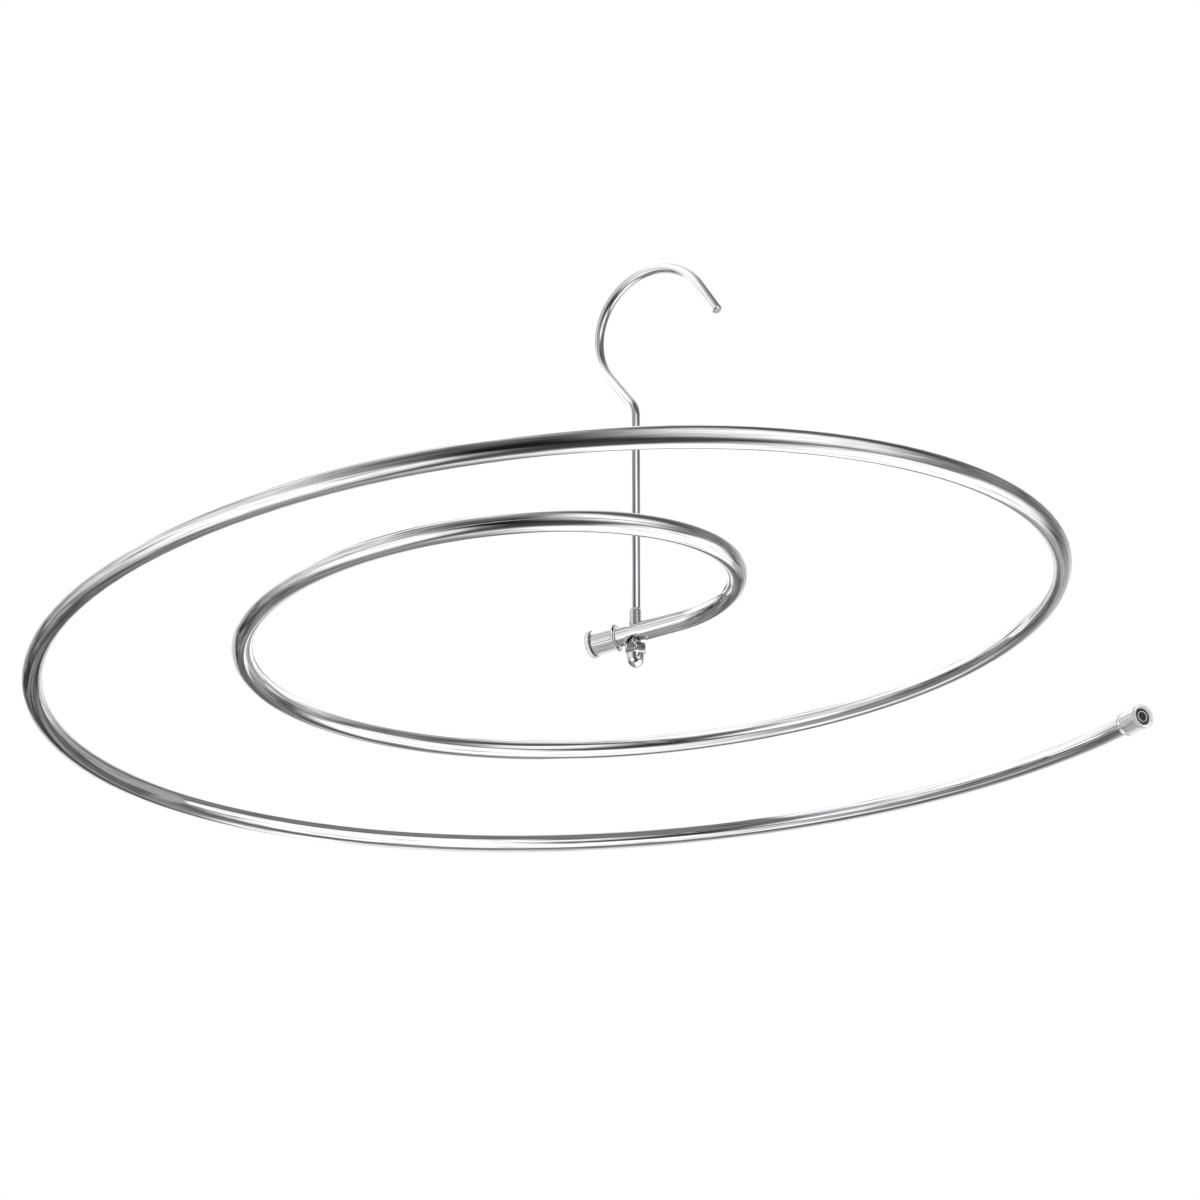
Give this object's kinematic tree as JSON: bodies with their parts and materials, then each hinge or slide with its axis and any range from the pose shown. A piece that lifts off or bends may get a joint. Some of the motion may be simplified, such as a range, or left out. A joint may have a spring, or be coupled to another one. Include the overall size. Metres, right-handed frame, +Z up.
{
  "type": "spiral drying rack",
  "caption": "Hanging drying rack: a round steel tube wound to an open flat spiral, on a hook rod with a domed nut, with a plastic cap on each tube end.",
  "frame": {"origin": "underside of the hook's crown, where the rack hangs", "axes": "+Z up along the rod; +X to the right in the pictured view, +Y away from its viewer"},
  "size_m": [0.5892, 0.6175, 0.2285],
  "materials": {
    "rod_steel": "polished stainless steel",
    "tube_steel": "polished stainless steel",
    "nut_steel": "bright turned stainless steel",
    "cap_plastic": "frosted translucent plastic"
  },
  "bodies": {
    "hanger": {"hook_rod": "rod_steel", "acorn_nut": "nut_steel"},
    "spiral": {"spiral_tube": "tube_steel", "inner_end_cap": "cap_plastic", "outer_end_cap": "cap_plastic"}
  },
  "joints": [
    {"name": "spiral_swivel", "type": "hinge", "parent": "hanger", "child": "spiral", "pos_m": [-0.00925, 0.00635, -0.18716], "axis": [0, 0, 1], "continuous": true}
  ]
}
